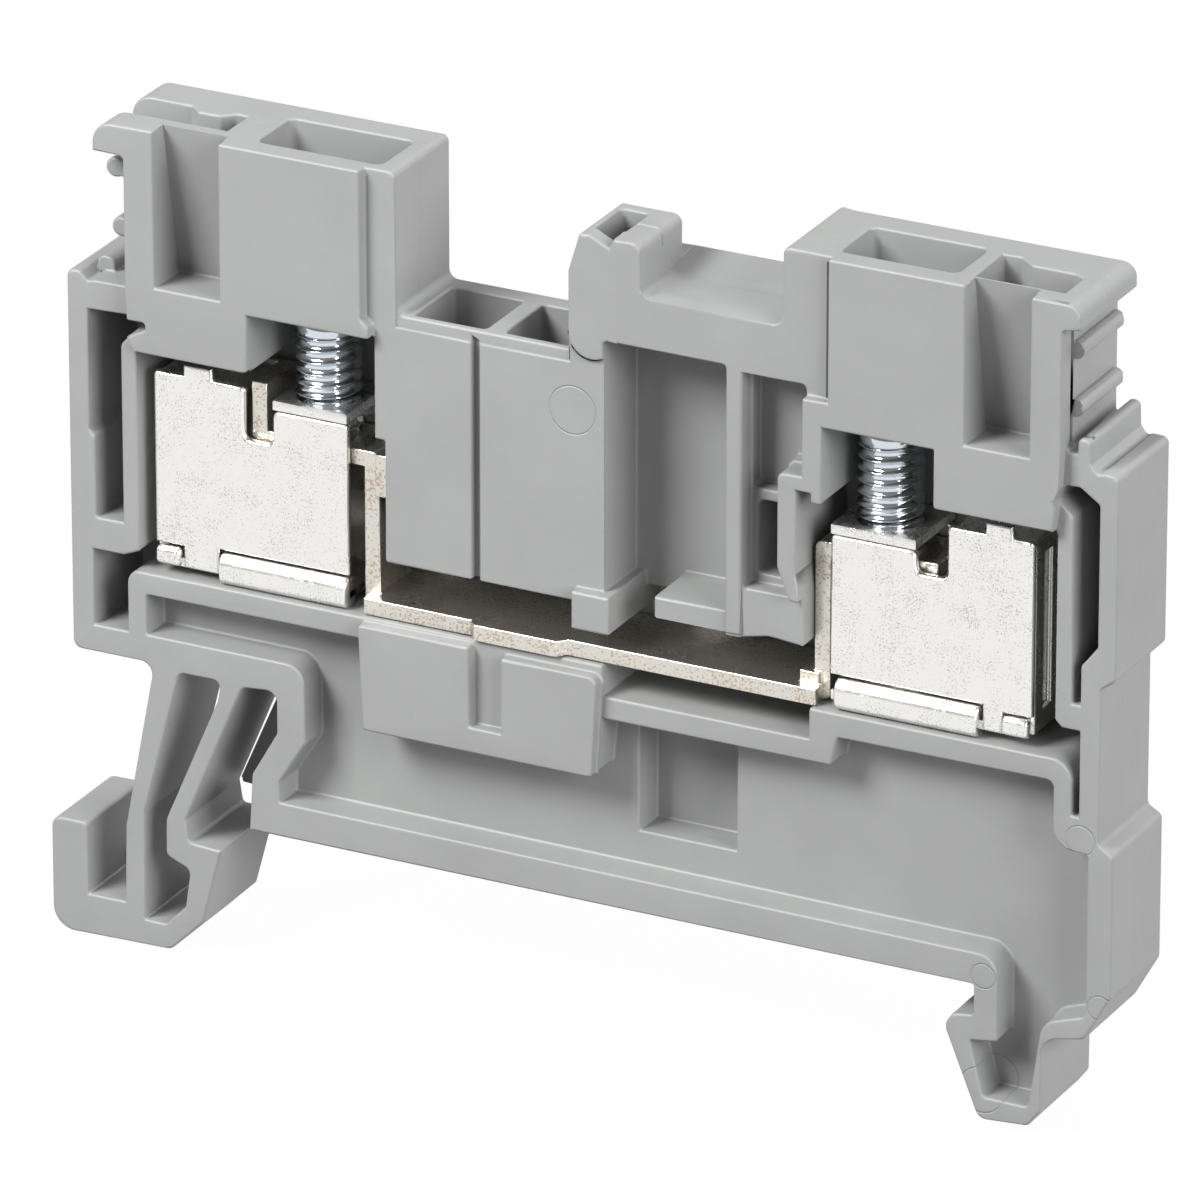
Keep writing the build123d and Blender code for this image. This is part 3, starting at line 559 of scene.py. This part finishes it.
def side_plate(corners, front, back, soft):
    """A plate from (x, z, radius) corners between two depths, with soft rims."""
    bm = bmesh.new()
    verts = [bm.verts.new((x, front, z)) for x, z, _ in corners]
    bm.faces.new(verts)
    for radius in sorted({corner[2] for corner in corners} - {0}):
        chosen = [vert for vert, corner in zip(verts, corners) if corner[2] == radius]
        bmesh.ops.bevel(bm, geom=chosen, offset=radius, offset_type="OFFSET", segments=5, profile=0.5,
                        affect="VERTICES", material=-1)
    made = bmesh.ops.extrude_face_region(bm, geom=bm.faces[:])
    moved = [item for item in made["geom"] if isinstance(item, bmesh.types.BMVert)]
    bmesh.ops.translate(bm, vec=(0, back - front, 0), verts=moved)
    bmesh.ops.recalc_face_normals(bm, faces=bm.faces)
    rims = [e for e in bm.edges if length_along(e, "y") < LEVEL and e.calc_face_angle(0) > CORNER]
    round_edges(bm, rims, soft, 3)
    return bm


def block(x, y, z, soft):
    """A box between two levels on each axis, with soft edges."""
    bm = bmesh.new()
    bmesh.ops.create_cube(bm, size=1)
    bmesh.ops.scale(bm, vec=(x[1] - x[0], y[1] - y[0], z[1] - z[0]), verts=bm.verts)
    bmesh.ops.translate(bm, vec=(sum(x) / 2, sum(y) / 2, sum(z) / 2), verts=bm.verts)
    if soft:
        round_edges(bm, bm.edges[:], soft, 2)
    return bm


def roll(x, y, z, radius, end):
    """A rolled edge along X: a bar with its long edges and then its ends rounded."""
    bm = block(x, y, z, 0)
    round_edges(bm, [e for e in bm.edges if length_along(e, "x") > LEVEL], radius, 8)
    ends = [e for e in bm.edges if length_along(e, "x") < LEVEL and e.calc_face_angle(0) > CORNER]
    round_edges(bm, ends, end, 3)
    return bm


def threaded_plate(x, z, screw):
    """The plate that the screw runs in, with its round hole."""
    bm = bmesh.new()
    made = bmesh.ops.create_circle(bm, segments=48, radius=THREAD_HOLE)
    bmesh.ops.translate(bm, vec=(screw, SCREW_Y, z[0]), verts=made["verts"])
    corners = [(x[0], CAGE_FRONT), (x[1], CAGE_FRONT), (x[1], CAGE_BACK), (x[0], CAGE_BACK)]
    verts = [bm.verts.new((across, depth, z[0])) for across, depth in corners]
    rim = [bm.edges.new((verts[i - 1], verts[i])) for i in range(4)]
    bmesh.ops.subdivide_edges(bm, edges=rim, cuts=11)
    bmesh.ops.bridge_loops(bm, edges=bm.edges[:])
    made = bmesh.ops.extrude_face_region(bm, geom=bm.faces[:])
    moved = [item for item in made["geom"] if isinstance(item, bmesh.types.BMVert)]
    bmesh.ops.translate(bm, vec=(0, 0, z[1] - z[0]), verts=moved)
    bmesh.ops.recalc_face_normals(bm, faces=bm.faces)
    flat = z[0] + LEVEL
    rims = [e for e in bm.edges if e.calc_face_angle(0) > CORNER and max(v.co.z for v in e.verts) > flat]
    round_edges(bm, rims, 0.06, 2)
    return bm


def side_window(bm, x, y, z, sunk):
    """The outer side of a cage, with the tall narrow slot that is sunk into it."""
    side = block(x, y, z, 0)
    outer = max(x, key=abs)
    face = min(side.faces, key=lambda f: abs(f.calc_center_median().x - outer))
    bmesh.ops.inset_region(side, faces=[face], thickness=0.3)
    middle = sum(y) / 2
    for vert in face.verts:
        vert.co.y = WINDOW_Y[0] if vert.co.y < middle else WINDOW_Y[1]
        vert.co.z = WINDOW_Z[0] if vert.co.z < sum(z) / 2 else WINDOW_Z[1]
    made = bmesh.ops.extrude_face_region(side, geom=[face])
    moved = [item for item in made["geom"] if isinstance(item, bmesh.types.BMVert)]
    bmesh.ops.delete(side, geom=[face], context="FACES_ONLY")
    bmesh.ops.translate(side, vec=(-math.copysign(sunk, outer), 0, 0), verts=moved)
    bmesh.ops.recalc_face_normals(side, faces=side.faces)
    round_edges(side, [e for e in side.edges if e.calc_face_angle(0) > CORNER], 0.07, 3)
    take_in(bm, side)


def folded_cage(name, kind):
    """One cage: two side plates, base, roof, outer side, threaded plate, rolled lip and ear."""
    def at(u):
        return kind["inner"] + kind["out"] * u

    def span(a, b):
        return tuple(sorted((at(a), at(b))))

    low, high = kind["notch"]
    shoulder = kind["top"] - SHEET
    tab = kind["tab"]
    over_lip = LIP_Z[1] + 0.09
    top = [
        (at(0), shoulder - 0.07, 0.2), (at(low), shoulder - 0.07, 0.3), (at(low), NOTCH_FOOT, 0.25),
        (at(high), NOTCH_FOOT, 0.25), (at(high), CAGE_TALL, 0.25), (at(tab[0]), CAGE_TALL, 0),
        (at(tab[0]), TAB_TOP, 0), (at(tab[1]), TAB_TOP, 0), (at(tab[1]), CAGE_TALL, 0),
        (at(CAGE_LENGTH), CAGE_TALL, 0.2),
    ]
    over_ear = EAR_Z[1] + 0.07
    front = [
        (at(CAGE_LENGTH), over_ear, 0), (at(EAR[0] - 0.08), over_ear, 0), (at(EAR[0] - 0.08), CAGE_FOOT, 0),
        (at(kind["lip"][1] + 0.12), CAGE_FOOT, 0), (at(kind["lip"][1] + 0.12), over_lip, 0),
        (at(0), over_lip, 0),
    ]
    back = [(at(CAGE_LENGTH), CAGE_FOOT, 0.2), (at(0.3), CAGE_FOOT, 0), (at(0), CAGE_FOOT + 0.6, 0)]
    bm = side_plate(top + front, CAGE_FRONT, CAGE_FRONT + SHEET, 0.15)
    take_in(bm, side_plate(top + back, CAGE_BACK - SHEET, CAGE_BACK, 0.1))
    depth = (CAGE_FRONT + 0.1, CAGE_BACK - 0.1)
    take_in(bm, block(span(0, CAGE_LENGTH - 0.15), depth, (CAGE_FOOT, CAGE_FOOT + SHEET), 0.05))
    roof = (CAGE_TALL - 0.15 - SHEET, CAGE_TALL - 0.15)
    take_in(bm, block(span(high + 0.15, CAGE_LENGTH - 0.15), depth, roof, 0.08))
    take_in(bm, threaded_plate(span(low, 0), (shoulder, kind["top"]), kind["screw"]))
    side_window(bm, span(CAGE_LENGTH - SHEET, CAGE_LENGTH), (CAGE_FRONT + 0.3, CAGE_BACK - 0.05),
                (CAGE_FOOT + 0.1, CAGE_TALL - 0.2), 0.2)
    take_in(bm, roll(span(*kind["lip"]), LIP_Y, LIP_Z, 0.5, 0.12))
    take_in(bm, roll(span(*EAR), EAR_Y, EAR_Z, 0.25, 0.15))
    bmesh.ops.scale(bm, vec=(MM, MM, MM), verts=bm.verts)
    smooth_faces(bm)
    mesh = bpy.data.meshes.new(name)
    bm.to_mesh(mesh)
    bm.free()
    piece = bpy.data.objects.new(name, mesh)
    bpy.context.scene.collection.objects.link(piece)
    weighted = piece.modifiers.new("Flat faces", "WEIGHTED_NORMAL")
    weighted.keep_sharp = True
    weighted.weight = 100
    return piece


nickel = plated("Nickel plate", NICKEL, PIT, 0.28, 14000, 0.56)
for side in ("left", "right"):
    clamp = folded_cage(f"{side}_clamp", CAGES[side])
    finish_piece(clamp, f"{side}_cage", f"{side}_clamp", nickel)


# Screws
# The real pieces are M3 steel screws with a slotted head, zinc plated with a bluish passivation. Their
# rolled thread has narrow crests and a wide root, and ends in a plain collar below the neck.
PITCH = 0.5 * MM
CREST = 1.35 * MM
ROOT = 1.16 * MM
COLLAR = 1.3 * MM
THREAD_END = 21.5 * MM
NECK_FOOT = 22.1 * MM
STEPS = 64
OVERLAP = 0.1 * MM


def cut_level(bm, level, normal):
    """Cuts away what lies beyond a level, above it or below it, and closes the cut."""
    bmesh.ops.bisect_plane(bm, geom=bm.verts[:] + bm.edges[:] + bm.faces[:], plane_co=(0, 0, level),
                           plane_no=(0, 0, normal), clear_outer=True)
    bmesh.ops.holes_fill(bm, edges=[e for e in bm.edges if e.is_boundary], sides=0)


def add_thread(bm, centre, foot, top):
    """A closed rolled thread around a centre line, cut flat at its foot and at its top."""
    turns = math.ceil((top - foot) / PITCH) + 3
    shape = ((ROOT, 0.0), (ROOT, 0.52), (CREST - 0.03 * MM, 0.72), (CREST, 0.76), (CREST - 0.03 * MM, 0.80))
    points = [(radius, foot + (turn - 2 + share) * PITCH) for turn in range(turns) for radius, share in shape]
    verts = [bm.verts.new((centre.x + radius, centre.y, level)) for radius, level in points]
    edges = [bm.edges.new(pair) for pair in zip(verts, verts[1:])]
    axis = (centre.x, centre.y, 0)
    bmesh.ops.spin(bm, geom=verts + edges, cent=axis, axis=(0, 0, 1), angle=2 * math.pi, steps=STEPS,
                   dvec=(0, 0, PITCH / STEPS))
    bmesh.ops.remove_doubles(bm, verts=bm.verts, dist=0.001 * MM)
    for level, normal in ((foot, -1), (top, 1)):
        cut_level(bm, level, normal)
    bmesh.ops.recalc_face_normals(bm, faces=bm.faces)


def add_lathe(bm, centre, outline):
    """A turned solid from (radius, level) points, from its foot on the axis to its top on the axis."""
    verts = [bm.verts.new((centre.x + radius, centre.y, level)) for radius, level in outline]
    edges = [bm.edges.new(pair) for pair in zip(verts, verts[1:])]
    bmesh.ops.spin(bm, geom=verts + edges, cent=(centre.x, centre.y, 0), axis=(0, 0, 1), angle=2 * math.pi,
                   steps=STEPS, use_merge=True)
    bmesh.ops.remove_doubles(bm, verts=bm.verts, dist=0.001 * MM)
    bmesh.ops.recalc_face_normals(bm, faces=bm.faces)


def spindle_mesh(name, node):
    """The threaded shaft and collar below the neck, to be joined to the neck and slotted head of the CAD
    node.
    """
    low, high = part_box(node)
    centre = (low + high) / 2
    mesh = bpy.data.meshes.new(name)
    bm = bmesh.new()
    add_thread(bm, centre, low.z, THREAD_END + OVERLAP)
    bm.to_mesh(mesh)
    bm.clear()
    edge = 0.08 * MM
    add_lathe(bm, centre, [
        (0, THREAD_END), (COLLAR - edge, THREAD_END), (COLLAR, THREAD_END + edge), (COLLAR, NECK_FOOT - edge),
        (COLLAR - edge, NECK_FOOT), (0, NECK_FOOT),
    ])
    bm.from_mesh(mesh)
    bm.to_mesh(mesh)
    bm.free()
    return mesh


BLUE_ZINC = (0.68, 0.73, 0.77, 1)
zinc = plated("Blue zinc", BLUE_ZINC, shade(BLUE_ZINC, 0.6), 0.13, 6000, 0.45)
for side in ("left", "right"):
    spindle = rounded_copy(f"{side}_screw", f"{side}_spindle", 0.04 * MM)
    bm = bmesh.new()
    bm.from_mesh(spindle.data)
    cut_level(bm, NECK_FOOT + OVERLAP, -1)
    bm.from_mesh(spindle_mesh(f"{side}_thread", f"{side}_screw"))
    for face in bm.faces:
        face.smooth = True
    bm.to_mesh(spindle.data)
    bm.free()
    finish_piece(spindle, f"{side}_screw", f"{side}_driver_screw", zinc)


# Studio
# A white floor, a soft light from the front left, a weaker one from the right, one above and one behind.
FLOOR_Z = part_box("housing")[0].z
AIM = Vector((1.18, -2.1, 13.23)) * MM
FORWARD = Vector((-0.4170, 0.8179, -0.3965))
DISTANCE = 520.25 * MM
LENS = 396.1
WORLD = 0.24

floor_mesh = bpy.data.meshes.new("floor")
bm = bmesh.new()
bmesh.ops.create_grid(bm, x_segments=1, y_segments=1, size=6)
bmesh.ops.translate(bm, vec=(0, 0, FLOOR_Z), verts=bm.verts)
bm.to_mesh(floor_mesh)
bm.free()
floor = bpy.data.objects.new("floor", floor_mesh)
bpy.context.scene.collection.objects.link(floor)
paper, paper_shader = new_material("White paper", (0.15, 0.15, 0.15, 1), 0.9)
tree = paper.node_tree
path = tree.nodes.new("ShaderNodeLightPath")
seen = tree.nodes.new("ShaderNodeMath")
seen.operation = "ADD"
seen.use_clamp = True
tree.links.new(path.outputs["Is Camera Ray"], seen.inputs[0])
tree.links.new(path.outputs["Is Glossy Ray"], seen.inputs[1])
share = tree.nodes.new("ShaderNodeMath")
share.operation = "MULTIPLY"
share.inputs[1].default_value = 0.9
tree.links.new(seen.outputs[0], share.inputs[0])
glow = tree.nodes.new("ShaderNodeEmission")
glow.inputs["Strength"].default_value = 1.08
mix = tree.nodes.new("ShaderNodeMixShader")
tree.links.new(share.outputs[0], mix.inputs["Fac"])
tree.links.new(paper_shader.outputs[0], mix.inputs[1])
tree.links.new(glow.outputs[0], mix.inputs[2])
tree.links.new(mix.outputs[0], tree.nodes["Material Output"].inputs["Surface"])
floor_mesh.materials.append(paper)

world = bpy.data.worlds.new("Studio")
world.use_nodes = True
world.node_tree.nodes["Background"].inputs["Color"].default_value = (1, 1, 1, 1)
world.node_tree.nodes["Background"].inputs["Strength"].default_value = WORLD
bpy.context.scene.world = world


def softbox(name, place, size, power):
    """A square area light aimed at the object."""
    light = bpy.data.lights.new(name, "AREA")
    light.shape = "SQUARE"
    light.size = size
    light.energy = power
    lamp = bpy.data.objects.new(name, light)
    lamp.location = place
    lamp.rotation_mode = "QUATERNION"
    lamp.rotation_quaternion = (AIM - Vector(place)).to_track_quat("-Z", "Y")
    bpy.context.scene.collection.objects.link(lamp)


softbox("key", (-0.14, -0.19, 0.23), 0.13, 1.75)
softbox("fill", (0.9, -0.35, 0.4), 0.6, 13)
softbox("top", (0.1, 0.2, 0.9), 0.5, 3)
softbox("rear", (0.1, 0.72, 0.05), 0.5, 4)

camera_data = bpy.data.cameras.new("camera")
camera_data.lens = LENS
camera = bpy.data.objects.new("camera", camera_data)
camera.location = AIM - FORWARD.normalized() * DISTANCE
camera.rotation_mode = "QUATERNION"
camera.rotation_quaternion = FORWARD.to_track_quat("-Z", "Y")
bpy.context.scene.collection.objects.link(camera)
bpy.context.scene.camera = camera
bpy.context.scene.view_settings.view_transform = "Standard"
